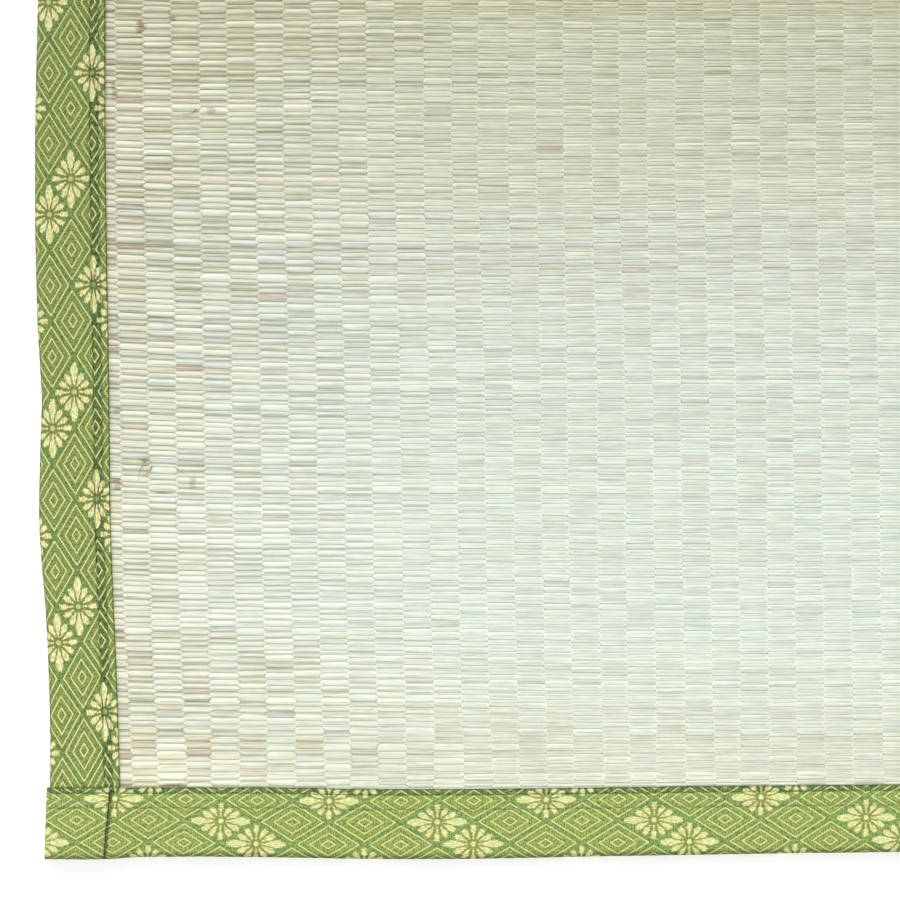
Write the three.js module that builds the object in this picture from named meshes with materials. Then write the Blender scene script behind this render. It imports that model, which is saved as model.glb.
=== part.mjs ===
// Rush floor mat: one woven rush panel, bound on its four edges with folded brocade tape.
// Millimetres, +Z up. It lies flat, and its origin is on the floor under its centre.
import * as THREE from 'three';
import { mergeVertices } from 'three/addons/utils/BufferGeometryUtils.js';

// Driving dimensions
const MAT_WIDTH = 870;
const MAT_LENGTH = 1740;
const RUSH_THICKNESS = 2.4;
const TAPE_THICKNESS = 1;
const GAP = 0.3;

// What follows from them
const STEP = TAPE_THICKNESS + GAP;
const SIDE_FOLD_INSIDE = RUSH_THICKNESS + 2 * GAP;
const SIDE_FOLD_RADIUS = SIDE_FOLD_INSIDE / 2 + TAPE_THICKNESS;
const END_FOLD_RADIUS = SIDE_FOLD_RADIUS + STEP;

// Where the panel comes down from the tape under its edge to the floor
const RAMP_LENGTH = 12;
const RAMP_CLEARANCE = 1;

// How finely the solids are faceted
const STEPS_BETWEEN_ROWS = 2;
const OUTER_FOLD_STEPS = 5;
const INNER_FOLD_STEPS = 4;

// The edges of the mat, each measured inwards from the side of a true rectangle:
// along is the way from the edge's first corner, outer is the tape's outer fold,
// inner is the tape's inner edge. The front and left ones bulge and lean as a mat
// laid by hand does, and the other two are plainer.
const LEFT_EDGE = [
  { along: 0, outer: 2.2, inner: 28.8 },
  { along: 28, outer: 2.1, inner: 28.6 },
  { along: 60, outer: 2.1, inner: 27.9 },
  { along: 97, outer: 0.8, inner: 26.7 },
  { along: 125, outer: -1.3, inner: 25.8 },
  { along: 160, outer: -0.7, inner: 25.6 },
  { along: 178, outer: 0.0, inner: 25.5 },
  { along: 205, outer: -1.5, inner: 25.3 },
  { along: 277, outer: -1.9, inner: 24.8 },
  { along: 331, outer: -0.4, inner: 25.2 },
  { along: 430, outer: 0.6, inner: 26.4 },
  { along: 560, outer: -0.9, inner: 25.4 },
  { along: 720, outer: 0.8, inner: 26.8 },
  { along: 900, outer: -0.6, inner: 25.8 },
  { along: 1080, outer: 0.9, inner: 26.8 },
  { along: 1260, outer: -0.8, inner: 25.6 },
  { along: 1430, outer: 0.5, inner: 26.4 },
  { along: 1590, outer: -0.3, inner: 26.0 },
  { along: 1740, outer: 1.2, inner: 27.2 },
];
const RIGHT_EDGE = [
  { along: 0, outer: 1.4, inner: 27.4 },
  { along: 140, outer: 0.4, inner: 26.4 },
  { along: 320, outer: -0.8, inner: 25.5 },
  { along: 510, outer: 0.5, inner: 26.5 },
  { along: 720, outer: -0.5, inner: 25.8 },
  { along: 930, outer: 0.7, inner: 26.7 },
  { along: 1140, outer: -0.7, inner: 25.6 },
  { along: 1350, outer: 0.4, inner: 26.5 },
  { along: 1560, outer: -0.4, inner: 25.9 },
  { along: 1740, outer: 1.2, inner: 27.2 },
];
const FRONT_EDGE = [
  { along: 0, outer: 0.0, inner: 27.3 },
  { along: 23, outer: -0.2, inner: 27.2 },
  { along: 36, outer: 0.5, inner: 27.0 },
  { along: 87, outer: 0.1, inner: 26.6 },
  { along: 122, outer: -0.8, inner: 25.7 },
  { along: 164, outer: -1.1, inner: 25.4 },
  { along: 213, outer: -0.5, inner: 25.6 },
  { along: 248, outer: -0.2, inner: 25.8 },
  { along: 325, outer: 0.3, inner: 25.9 },
  { along: 430, outer: -0.4, inner: 25.8 },
  { along: 540, outer: 0.5, inner: 26.5 },
  { along: 660, outer: -0.5, inner: 25.7 },
  { along: 770, outer: 0.4, inner: 26.5 },
  { along: 870, outer: 0.0, inner: 26.4 },
];
const BACK_EDGE = [
  { along: 0, outer: 0.0, inner: 26.6 },
  { along: 110, outer: 0.4, inner: 26.6 },
  { along: 250, outer: -0.5, inner: 25.8 },
  { along: 400, outer: 0.5, inner: 26.6 },
  { along: 560, outer: -0.4, inner: 25.8 },
  { along: 720, outer: 0.3, inner: 26.4 },
  { along: 870, outer: 0.0, inner: 26.4 },
];

// The front tape's left end flares: it is cut this much out of square
const FRONT_END_LEAN = 0.04;
const FRONT_END_LEAN_FADE = 40;

// Smooth curves through an edge's table
function edgeCurves(table) {
  const along = table.map((row) => row.along);
  const curve = (column) => {
    const values = table.map((row) => row[column]);
    const interpolant = new THREE.CubicInterpolant(along, values, 1, new Float64Array(1));
    return (at) => interpolant.evaluate(THREE.MathUtils.clamp(at, 0, along.at(-1)))[0];
  };
  return { outer: curve('outer'), inner: curve('inner'), along };
}

const left = edgeCurves(LEFT_EDGE);
const right = edgeCurves(RIGHT_EDGE);
const front = edgeCurves(FRONT_EDGE);
const back = edgeCurves(BACK_EDGE);

// The rows of two facing edges together, so that what lies between them fits both
function sharedRows(...edges) {
  const rows = new Set(edges.flatMap((edge) => edge.along));
  return [...rows].sort((a, b) => a - b);
}

const sideRows = sharedRows(left, right);
const endRows = sharedRows(front, back);

// 1 where an edge's tape lies under the panel, falling to 0 over the ramp inside it
function tapeCover(edge, along, across) {
  const start = edge.inner(along) + RAMP_CLEARANCE;
  return 1 - THREE.MathUtils.smoothstep(across, start, start + RAMP_LENGTH);
}

function sideCover(x, y) {
  return Math.max(tapeCover(left, y, x), tapeCover(right, y, MAT_WIDTH - x));
}

function endCover(x, y) {
  return Math.max(tapeCover(front, x, y), tapeCover(back, x, MAT_LENGTH - y));
}

// Places where a sweep is cut: the tables' rows, with even steps between them, and the
// ramps at both of its ends
function sweepStations(along, endInset) {
  const length = along.at(-1);
  const stations = [endInset, length - endInset];
  for (let row = 1; row < along.length; row += 1) {
    for (let step = 0; step < STEPS_BETWEEN_ROWS; step += 1) {
      stations.push(THREE.MathUtils.lerp(along[row - 1], along[row], step / STEPS_BETWEEN_ROWS));
    }
  }
  for (const inset of [15, 26.5, 29, 33, 37, 41]) {
    stations.push(inset, length - inset);
  }
  const inside = stations.filter((at) => at >= endInset && at <= length - endInset);
  const sorted = inside.sort((a, b) => a - b);
  return sorted.filter((at, index) => index === 0 || at - sorted[index - 1] > 1.5);
}

// A closed solid through like loops of points, capped at both ends and facing out
function sweptSolid(loops, capPoints) {
  const loopLength = loops[0].length;
  const positions = loops.flat().flatMap((point) => point.toArray());
  const triangles = [];
  for (let station = 0; station + 1 < loops.length; station += 1) {
    for (let corner = 0; corner < loopLength; corner += 1) {
      const next = (corner + 1) % loopLength;
      const a = station * loopLength + corner;
      const b = station * loopLength + next;
      const c = a + loopLength;
      const d = b + loopLength;
      triangles.push([a, b, d], [a, d, c]);
    }
  }
  const lastLoop = (loops.length - 1) * loopLength;
  for (const [a, b, c] of THREE.ShapeUtils.triangulateShape(capPoints, [])) {
    triangles.push([a, c, b], [lastLoop + a, lastLoop + b, lastLoop + c]);
  }
  const vertex = (index) => new THREE.Vector3().fromArray(positions, index * 3);
  const volume = triangles.reduce(
    (sum, [a, b, c]) => sum + vertex(a).dot(vertex(b).cross(vertex(c))), 0);
  const facingOut = volume > 0 ? triangles : triangles.map(([a, b, c]) => [a, c, b]);
  const geometry = new THREE.BufferGeometry();
  geometry.setAttribute('position', new THREE.Float32BufferAttribute(positions, 3));
  geometry.setIndex(facingOut.flat());
  const merged = mergeVertices(geometry);
  merged.computeVertexNormals();
  return merged;
}

// The closed outline of a tape folded round an edge: across is measured inwards, and up
// from the underside of its lower layer
function tapeOutline(outer, inner, insideHeight) {
  const outerRadius = insideHeight / 2 + TAPE_THICKNESS;
  const innerRadius = insideHeight / 2;
  const centre = new THREE.Vector2(outer + outerRadius, outerRadius);
  const arc = (radius, steps, from, to) => Array.from({ length: steps + 1 }, (_, step) => {
    const angle = THREE.MathUtils.lerp(from, to, step / steps);
    return new THREE.Vector2(-radius * Math.cos(angle), radius * Math.sin(angle)).add(centre);
  });
  const quarter = Math.PI / 2;
  return [
    new THREE.Vector2(inner, TAPE_THICKNESS),
    ...arc(innerRadius, INNER_FOLD_STEPS, -quarter, quarter),
    new THREE.Vector2(inner, 2 * outerRadius - TAPE_THICKNESS),
    new THREE.Vector2(inner, 2 * outerRadius),
    ...arc(outerRadius, OUTER_FOLD_STEPS, quarter, -quarter),
    new THREE.Vector2(inner, 0),
  ];
}

// The ends of what runs from front to back follow the wavy front and back edges
function followEnds(x, y) {
  const nearFront = 1 - THREE.MathUtils.smoothstep(y, 0, MAT_LENGTH / 2);
  const nearBack = 1 - THREE.MathUtils.smoothstep(MAT_LENGTH - y, 0, MAT_LENGTH / 2);
  return y + nearFront * front.outer(x) - nearBack * back.outer(x);
}

// A side tape: folded round the panel's edge, and lifted at its ends on to the end tapes
function sideBinding(edge, placeX) {
  const loops = sweepStations(sideRows, END_FOLD_RADIUS).map((along) => {
    const outline = tapeOutline(edge.outer(along), edge.inner(along), SIDE_FOLD_INSIDE);
    return outline.map(({ x: across, y: up }) => {
      const x = placeX(across);
      const y = followEnds(x, along);
      return new THREE.Vector3(x, y, up + STEP * endCover(x, along));
    });
  });
  const cap = tapeOutline(edge.outer(0), edge.inner(0), SIDE_FOLD_INSIDE);
  return sweptSolid(loops, cap);
}

// An end tape: folded over the panel's end, and over the side tapes at the corners
function endBinding(edge, placeY, endLean) {
  const stations = sweepStations(endRows, 0);
  const outlineAt = (along) => {
    const middle = placeY((edge.outer(along) + edge.inner(along)) / 2);
    const insideHeight = SIDE_FOLD_INSIDE + 2 * STEP * sideCover(along, middle);
    return tapeOutline(edge.outer(along), edge.inner(along), insideHeight);
  };
  const loops = stations.map((along) => outlineAt(along).map(({ x: across, y: up }) => {
    const fade = 1 - THREE.MathUtils.smoothstep(along, 0, FRONT_END_LEAN_FADE);
    return new THREE.Vector3(along + endLean * fade * across, placeY(across), up);
  }));
  return sweptSolid(loops, outlineAt(0));
}

// The woven panel: one sheet, flat on the floor but for its edges, which the tapes lift
function rushPanel() {
  const insets = [26, 30, 36, 42, 160, 300];
  const loops = sweepStations(sideRows, END_FOLD_RADIUS).map((along) => {
    const xs = [
      left.outer(along) + SIDE_FOLD_RADIUS,
      ...insets,
      MAT_WIDTH / 2,
      ...insets.map((inset) => MAT_WIDTH - inset).reverse(),
      MAT_WIDTH - right.outer(along) - SIDE_FOLD_RADIUS,
    ];
    const underside = xs.map((x) => {
      const lift = STEP * (sideCover(x, along) + endCover(x, along));
      return new THREE.Vector3(x, followEnds(x, along), lift);
    });
    const raise = new THREE.Vector3(0, 0, RUSH_THICKNESS);
    return [...underside, ...underside.map((point) => point.clone().add(raise)).reverse()];
  });
  const cap = loops[0].map((point) => new THREE.Vector2(point.x, point.z));
  return sweptSolid(loops, cap);
}

const rushMaterial = new THREE.MeshStandardMaterial({ color: 0xdde4cb, roughness: 0.62, metalness: 0 });
const tapeMaterial = new THREE.MeshStandardMaterial({ color: 0x8ca34f, roughness: 0.7, metalness: 0 });

const PIECES = [
  { name: 'rush_panel', geometry: rushPanel(), material: rushMaterial },
  { name: 'left_binding', geometry: sideBinding(left, (across) => across), material: tapeMaterial },
  {
    name: 'right_binding',
    geometry: sideBinding(right, (across) => MAT_WIDTH - across),
    material: tapeMaterial,
  },
  {
    name: 'front_binding',
    geometry: endBinding(front, (across) => across, FRONT_END_LEAN),
    material: tapeMaterial,
  },
  {
    name: 'back_binding',
    geometry: endBinding(back, (across) => MAT_LENGTH - across, 0),
    material: tapeMaterial,
  },
];

const mat = new THREE.Group();
for (const { name, geometry, material } of PIECES) {
  const piece = new THREE.Mesh(geometry, material);
  piece.name = name;
  mat.add(piece);
}

// The pieces are drawn from the mat's front left corner, so the group centres them
const size = new THREE.Box3().setFromObject(mat);
const centre = size.getCenter(new THREE.Vector3());
mat.position.set(-centre.x, -centre.y, -size.min.z);

const group = new THREE.Group();
group.add(mat);
export default group;
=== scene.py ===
"""A rush floor mat bound with brocade tape, seen from straight above its front left corner.

Lengths are millimetres from the mat's front left corner, x along the front and y along the
mat's length, and are turned to metres where a mesh is made.
"""
import math

import bpy
import numpy as np
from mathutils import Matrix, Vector
from mathutils.bvhtree import BVHTree


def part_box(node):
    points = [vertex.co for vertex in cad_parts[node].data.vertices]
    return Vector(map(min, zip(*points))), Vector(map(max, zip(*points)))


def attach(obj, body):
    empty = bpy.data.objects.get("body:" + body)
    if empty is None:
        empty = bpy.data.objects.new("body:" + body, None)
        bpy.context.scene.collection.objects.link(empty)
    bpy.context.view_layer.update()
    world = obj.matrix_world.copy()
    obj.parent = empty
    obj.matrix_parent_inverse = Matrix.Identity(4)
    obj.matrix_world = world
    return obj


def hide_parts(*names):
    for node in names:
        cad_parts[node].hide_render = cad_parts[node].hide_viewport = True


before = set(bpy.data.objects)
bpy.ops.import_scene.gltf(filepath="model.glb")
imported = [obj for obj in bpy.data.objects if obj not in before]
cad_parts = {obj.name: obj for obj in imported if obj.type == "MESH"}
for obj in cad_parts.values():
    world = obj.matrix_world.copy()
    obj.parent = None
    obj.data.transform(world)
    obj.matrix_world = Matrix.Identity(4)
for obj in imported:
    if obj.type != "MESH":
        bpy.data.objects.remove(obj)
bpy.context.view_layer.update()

MM = 0.001

# The mat's front left corner in the frame, its width and its length
FRONT_BULGE = 1.1
FRONT_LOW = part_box("front_binding")[0]
CORNER = np.array([FRONT_LOW[0], FRONT_LOW[1], 0]) / MM + (0, FRONT_BULGE, 0)
MAT_WIDTH = 870.0
MAT_LENGTH = 1740.0


def table(names, *rows):
    """A table's rows, each a dictionary from the names of its columns to its values."""
    return [dict(zip(names.split(), row)) for row in rows]


# The weave: columns of floats side by side, each float over one warp
COLUMNS = 75
FIRST_BOUNDARY = 29.9
COLUMN_PITCH = (MAT_WIDTH - 2 * FIRST_BOUNDARY) / COLUMNS
STRIPS = 6
TUCKED_UNDER = 2.6
EDGE_WAVES = 2.0
POINT_LENGTH = 0.55
PAIR_POINT_LENGTH = 0.35
ARCH_INSET = 1.3
ARCH_UNEVEN = 0.5
SHOULDER_AT = 0.31
SHOULDER_DROP = 0.12
SINGLE_DEPTH = 0.66
DOUBLE_DEPTH = 0.54
PAIR_GROOVE = 0.34
DEEPER_BY = 0.26
SINKING = 0.55
BODY_DEPTH = 1.35
BODY_FOLD = 2.4

# Where single thick rushes give way to pairs of thin ones, from either side of the mat
SINGLES_REACH = 120.0
SINGLES_FADE = 65.0

# The length of mat that one float takes, from the front end on
FLOAT_PITCH = table(
    "along pitch",
    (0, 2.60), (50, 2.60), (73, 2.31), (119, 2.27), (165, 2.26),
    (211, 2.44), (258, 2.49), (304, 2.27), (420, 2.45), (640, 2.36),
    (900, 2.46), (1200, 2.36), (1500, 2.44), (1700, 2.38), (1740, 2.55),
)

# How far the columns wander sideways, beside the left tape and in the rest of the mat
COLUMN_WANDER = table(
    "along beside_tape elsewhere",
    (0, 3.3, 0.4),
    (44, 3.0, 0.2),
    (80, 1.7, 0.1),
    (119, 0.4, 0.1),
    (157, 0.4, 0.0),
    (196, 0.3, -0.1),
    (234, 0.5, -0.9),
    (273, 0.6, -1.4),
    (420, 0.2, -0.6),
    (700, -0.4, 0.9),
    (1000, 0.4, -0.8),
    (1350, -0.3, 0.7),
    (1740, 0.8, 0.0),
)
WANDER_FADE = 160.0
OWN_WANDER = 1.1
OWN_OFFSET = 0.16

# How the rows slope, each slope levelling off within its reach: beside the left and right
# tapes, and over a good part of the mat's width
TAPE_REACH = 26
TAPE_SLOPE = -0.030
RIGHT_SLOPE = 0.02
MAT_REACH = 380
MAT_SLOPE = -0.018
# How far a line between floats lies off its place: by a slow drift, by chance, and at the most
ROW_DRIFT = 0.28
ROW_JITTER = 0.06
MOST_JITTER = 0.5

# How dull and warm the rush is along the mat: the warmth is the rush's own, the darkening partly its own
# tone and partly painted shade
DULLING = table(
    "along dull",
    (0, 0.4), (45, 0.2), (90, -0.5), (190, -0.35), (235, 0.0), (330, 1.3),
    (430, 1.0), (640, 0.7), (900, 0.9), (1200, 0.6), (1450, 0.8), (1740, 0.5),
)

# Rushes' tints: everywhere, what pairs of thin ones add to that, and what the mat's sides add
TINTS = {
    row.pop("of"): row for row in table(
        "of everywhere pairs sides",
        ("tone", 0.86, -0.1, 0.12),
        ("tone_spread", 0.14, -0.06, 0.05),
        # The tone by thinness and where a half lies deeper is painted shade of rushes lying lower
        ("tone_by_thinness", -0.7, 0.4, 0.0),
        ("tone_where_deeper", -0.36, 0.16, -0.1),
        ("hue", 0.66, 0.0, -0.6),
        ("hue_spread", 0.11, 0.0, 0.06),
    )
}
DULL_TONE = -0.2
DULL_HUE = -0.42

# Knots and stains, each a patch of brown over the floats that it reaches
STAINS = table(
    "x y length height depth",
    (39.6, 320.0, 5.2, 3.6, 0.85),
    (51.1, 323.1, 3.4, 2.4, 0.65),
    (29.1, 295.2, 2.8, 4.6, 0.45),
    (61.3, 287.9, 5.4, 0.6, 0.6),
    (66.0, 288.3, 3.8, 1.2, 0.45),
    (29.4, 173.2, 4.0, 1.8, 0.45),
    (28.8, 144.5, 4.0, 1.8, 0.65),
    (57.9, 144.3, 3.0, 1.2, 0.35),
    (46.6, 140.4, 11.0, 0.3, 0.9),
    (29.4, 88.5, 5.5, 0.4, 0.6),
    (29.4, 84.6, 5.5, 2.0, 0.45),
    (49.8, 28.6, 10.5, 0.3, 0.7),
)
THIN_STAIN = 0.5
THIN_STAIN_REACH = 1.15
OTHER_STAINS = 130
STAINED_CORNER = 340.0

# Ends of rush that have come loose from the weave and lie on it
LOOSE_ENDS = table(
    "x y to_x to_y bow",
    (41.6, 154.0, 37.2, 146.0, -1.3),
    (41.3, 153.4, 36.2, 153.9, 0.4),
    (42.4, 151.0, 38.6, 147.6, 0.8),
    (60.4, 288.0, 55.0, 286.4, 0.7),
)
OTHER_LOOSE_ENDS = 46
LOOSE_END_STEPS = 8
LOOSE_END_SIDES = 5
LOOSE_END_RADIUS = 0.3
LOOSE_END_RISE = 0.28
LOOSE_END_TAPER = 0.65

# The tape and its stitching, with a band beside the inner edge that the stitches draw down
TAPE_THICKNESS = 0.8
TAPE_STEP = 4.8
TAPE_OVERLAP = 0.65
BAND_DEPTH = 0.3
CREASE_DEPTH = 0.3
CREASE_WIDTH = 0.4
CREASE_TAKE_UP = 0.4
EDGE_ROUNDING = 0.28
FOLD_STEPS = 7
FAR_FROM_EDGE = 40.0
STITCH_PITCH = 5.6
STITCH_LENGTH = 2.4
STITCH_UNEVEN = 0.12
THREAD_RADIUS = 0.22
END_SEAM_AT = 24.2
END_SEAM_SLANT = 0.09
END_SEAM_SHIFT = 0.5
END_SEAM_DEPTH = 0.55
END_SEAM_PITCH = 2.35
END_SEAM_RADIUS = 0.3
END_TAPE_MIDDLE = 13
END_LEAN = 0.04
END_LEAN_FADE = 40.0

# How far the tapes' weave has crept along them: inwards, towards their start, and slanting
# about a line that runs SLANT_ABOUT from their outer fold
SIDE_CREEP = table(
    "along inward back slant",
    (0, 4.1, 3.2, 0.08),
    (42, 3.8, 2.1, 0.08),
    (56, 3.7, 1.3, 0.07),
    (79, 2.9, 1.0, 0.04),
    (102, 1.8, 1.0, 0.03),
    (149, 1.1, 0.6, 0.02),
    (195, 1.0, 0.0, 0.02),
    (218, 0.5, -0.15, 0.02),
    (264, 0.3, -0.15, 0.0),
    (310, 0.7, 0.0, 0.0),
    (1740, 0.0, 0.0, 0.0),
)
END_CREEP = table(
    "along inward back slant",
    (0, 0.6, 0.3, 0.05),
    (26, 0.6, 0.3, 0.05),
    (43, 0.4, 0.9, 0.05),
    (89, -0.8, 1.1, 0.03),
    (135, -1.4, 1.1, 0.02),
    (181, -1.15, 0.8, 0.02),
    (228, -1.1, 0.8, 0.02),
    (274, -0.8, 1.5, 0.02),
    (314, -0.8, 2.7, 0.02),
    (870, 0.0, 2.7, 0.0),
)
SLANT_ABOUT = 15

# The camera: straight above, with a long lens
VIEW_CENTRE = (157.0, 156.3)
VIEW_WIDTH = 346.5
VIEW_TURN = -0.43
CAMERA_HEIGHT = 3.0
SENSOR = 36.0

# The light, in metres: a bright room, a broad soft box behind the mat and one on its front end
ROOM_LIGHT = 0.45
LAMPS = table(
    "name at aim size power spread",
    ("behind", (-1.0, 2.5, 2.4), (0.0, -0.5, 0.0), (2.4, 1.2), 89, 180),
    ("front", (-0.5, -1.85, 1.75), (-0.5, -0.86, 0.0), (1.9, 0.3), 0.75, 18),
)
FLOOR_GLOW = 0.32
FLOOR_REACH = 4000.0

rng = np.random.default_rng(20240611)


def srgb(red, green, blue):
    """A colour given as 0 to 255 on a screen, as the linear colour that a shader takes."""
    parts = np.array([red, green, blue]) / 255
    linear = np.where(parts <= 0.04045, parts / 12.92, ((parts + 0.055) / 1.055) ** 2.4)
    return (*linear.tolist(), 1.0)


def smoothstep(value, low, high):
    t = np.clip((value - low) / (high - low), 0, 1)
    return t * t * (3 - 2 * t)


def read_off(rows, name, along):
    """A table's column at places along the mat, straight from row to row."""
    return np.interp(along, [row["along"] for row in rows], [row[name] for row in rows])


def smooth_rows(values, width):
    """A running average down the last axis, with the ends held."""
    pad = np.repeat(values[..., :1], width, -1), np.repeat(values[..., -1:], width, -1)
    total = np.cumsum(np.concatenate([pad[0], values, pad[1]], -1), -1)
    mean = (total[..., width:] - total[..., :-width]) / width
    start = width - width // 2
    return mean[..., start:start + values.shape[-1]]


# Meshes

def to_world(points):
    return (np.asarray(points) + CORNER) * MM


def make_mesh(name, points, corners, sizes=None):
    """A mesh from millimetre points and its faces' corners, four to each unless sizes says."""
    if sizes is None:
        sizes = np.full(np.size(corners) // 4, 4)
    mesh = bpy.data.meshes.new(name)
    starts = np.concatenate([[0], np.cumsum(sizes)[:-1]])
    mesh.vertices.add(len(points))
    mesh.vertices.foreach_set("co", to_world(points).astype(np.float32).ravel())
    mesh.loops.add(np.size(corners))
    mesh.loops.foreach_set("vertex_index", corners.astype(np.int32).ravel())
    mesh.polygons.add(len(sizes))
    mesh.polygons.foreach_set("loop_start", starts.astype(np.int32))
    mesh.update(calc_edges=True)
    mesh.shade_smooth()
    return mesh


def grid_faces(rows, cols, closed):
    """The faces of a grid of points whose rows may close on themselves, with their row and column."""
    row, col = np.divmod(np.arange((rows - 1) * (cols - (not closed))), cols - (not closed))
    start, after = row * cols, (col + 1) % cols
    faces = np.stack([start + col, start + after, start + cols + after, start + cols + col], -1)
    return faces, row, col


def repeated(faces, count, points_each):
    """The faces of count copies of a shape, whose points follow on from one to the next."""
    return (faces + np.arange(count)[:, None, None] * points_each).reshape(-1, faces.shape[-1])


def add_uv(mesh, name, values):
    layer = mesh.uv_layers.new(name=name)
    layer.uv.foreach_set("vector", np.asarray(values, np.float32).ravel())


def add_layer(mesh, name, kind, domain, values):
    """Gives each point, corner, edge or face a vector, a number or a truth."""
    field, number = {
        "FLOAT_VECTOR": ("vector", np.float32),
        "FLOAT": ("value", np.float32),
        "BOOLEAN": ("value", bool),
    }[kind]
    layer = mesh.attributes.new(name, kind, domain)
    layer.data.foreach_set(field, np.asarray(values, number).ravel())


def add_piece(mesh, material):
    piece = bpy.data.objects.new(mesh.name, mesh)
    bpy.context.scene.collection.objects.link(piece)
    mesh.materials.append(material)
    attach(piece, "root")
    return piece


# The frame's nodes

def node_box(name):
    """A CAD node's lowest and highest corners, in millimetres from the mat's corner."""
    return [np.array(corner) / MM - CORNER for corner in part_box(name)]


def node_arrays(name):
    """A CAD node's points, in millimetres from the mat's corner, and its triangles."""
    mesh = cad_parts[name].data
    mesh.calc_loop_triangles()
    points = np.empty(len(mesh.vertices) * 3, np.float32)
    mesh.vertices.foreach_get("co", points)
    triangles = np.empty(len(mesh.loop_triangles) * 3, np.int32)
    mesh.loop_triangles.foreach_get("vertices", triangles)
    return points.reshape(-1, 3) / MM - CORNER, triangles.reshape(-1, 3)


def slices(name, axis, stations):
    """The lowest and highest point of each cut that a plane across the axis makes."""
    points, triangles = node_arrays(name)
    edges = np.concatenate([triangles[:, [0, 1]], triangles[:, [1, 2]], triangles[:, [2, 0]]])
    start, end = points[edges[:, 0]], points[edges[:, 1]]
    lows, highs = [], []
    for station in stations:
        crossing = (start[:, axis] - station) * (end[:, axis] - station) < 0
        a, b = start[crossing], end[crossing]
        share = (station - a[:, axis]) / (b[:, axis] - a[:, axis])
        cut = a + share[:, None] * (b - a)
        lows.append(cut.min(axis=0))
        highs.append(cut.max(axis=0))
    return np.array(lows), np.array(highs)


class PanelTop:
    """The height of the CAD panel's upper face, which the weave lies on.

    A place off the panel is taken from just INSIDE its edges, by a ray from far ABOVE it.
    """

    INSIDE = np.array([0.05, 2.05])
    ABOVE = 50

    def __init__(self):
        points, triangles = node_arrays("rush_panel")
        self.tree = BVHTree.FromPolygons(points.tolist(), triangles.tolist())
        self.low = points.min(axis=0)[:2] + self.INSIDE
        self.high = points.max(axis=0)[:2] - self.INSIDE

    def __call__(self, x, y):
        places = np.stack([np.ravel(x), np.ravel(y)], -1)
        down = Vector((0, 0, -1))
        starts = (Vector((*place, self.ABOVE)) for place in np.clip(places, self.low, self.high).tolist())
        return np.array([self.tree.ray_cast(start, down)[0].z for start in starts]).reshape(np.shape(x))


panel_top = PanelTop()


# Materials

class Value:
    """A number that a shader's nodes work out, which adds and multiplies as any number does."""

    def __init__(self, shader, socket):
        self.shader, self.socket = shader, socket

    def __add__(self, other):
        return self.shader.math("ADD", self, other)

    def __sub__(self, other):
        return self.shader.math("SUBTRACT", self, other)

    def __rsub__(self, other):
        return self.shader.math("SUBTRACT", other, self)

    def __mul__(self, other):
        return self.shader.math("MULTIPLY", self, other)

    def __abs__(self):
        return self.shader.math("ABSOLUTE", self)


class Shader:
    """One material's nodes, written as expressions."""

    def __init__(self, name):
        self.material = bpy.data.materials.new(name)
        self.material.use_nodes = True
        self.tree = self.material.node_tree
        self.tree.nodes.clear()
        output = self.tree.nodes.new("ShaderNodeOutputMaterial")
        self.surface = self.tree.nodes.new("ShaderNodeBsdfPrincipled")
        self.tree.links.new(self.surface.outputs[0], output.inputs["Surface"])

    def put(self, socket, value):
        if isinstance(value, Value):
            self.tree.links.new(value.socket, socket)
        elif value is not None:
            socket.default_value = value

    def node(self, kind, inputs, output=0, **settings):
        """A node's output, from the values of its inputs by their name or number."""
        node = self.tree.nodes.new("ShaderNode" + kind)
        for name, setting in settings.items():
            setattr(node, name, setting)
        for name, value in inputs.items():
            self.put(node.inputs[name], value)
        return Value(self, node.outputs[output])

    def math(self, operation, *numbers):
        return self.node("Math", dict(enumerate(numbers)), operation=operation)

    def most(self, a, b):
        return self.math("MAXIMUM", a, b)

    def least(self, a, b):
        return self.math("MINIMUM", a, b)

    def step(self, value, low, high, to_low=0.0, to_high=1.0, course="SMOOTHSTEP"):
        """Goes smoothly from to_low to to_high while value goes from low to high."""
        inputs = dict(enumerate((value, low, high, to_low, to_high)))
        return self.node("MapRange", inputs, interpolation_type=course)

    def ramp(self, *numbers):
        """The same as a step, in a straight line."""
        return self.step(*numbers, course="LINEAR")

    def mix(self, factor, a, b, blend="MIX"):
        return self.node("Mix", {"Factor": factor, 6: a, 7: b}, 2, data_type="RGBA", blend_type=blend)

    def scale(self, colour, factor):
        """A colour times a number."""
        return self.node("VectorMath", {0: colour, "Scale": factor}, operation="SCALE")

    def dot(self, vector, x, y):
        return self.node("VectorMath", {0: vector, 1: (x, y, 0)}, "Value", operation="DOT_PRODUCT")

    def vector(self, x, y, z=0.0):
        return self.node("CombineXYZ", {0: x, 1: y, 2: z})

    def split(self, vector):
        first = self.node("SeparateXYZ", {0: vector})
        return [Value(self, socket) for socket in first.socket.node.outputs]

    def attribute(self, name, output="Vector"):
        return self.node("Attribute", {}, output, attribute_name=name)

    def place(self):
        """Where the surface is, x, y and z, in millimetres from the mat's centre."""
        return self.split(self.scale(self.node("TexCoord", {}, "Object"), 1 / MM))

    def noise(self, x, y, z=0.0, scale=1.0, detail=2.0, roughness=0.5):
        inputs = {"Vector": self.vector(x, y, z), "Scale": scale, "Detail": detail,
                  "Roughness": roughness}
        return self.node("TexNoise", inputs, "Fac")

    def bump(self, height, distance):
        """Relief, whose height is in distances, which are millimetres."""
        return self.node("Bump", {"Height": height, "Distance": distance * MM, "Strength": 1.0})

    def finish(self, colour, roughness, normal, specular=0.5, sheen=0.0):
        inputs = {"Base Color": colour, "Roughness": roughness, "Normal": normal,
                  "Specular IOR Level": specular, "Sheen Weight": sheen}
        for name, value in inputs.items():
            self.put(self.surface.inputs[name], value)
        return self.material


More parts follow.
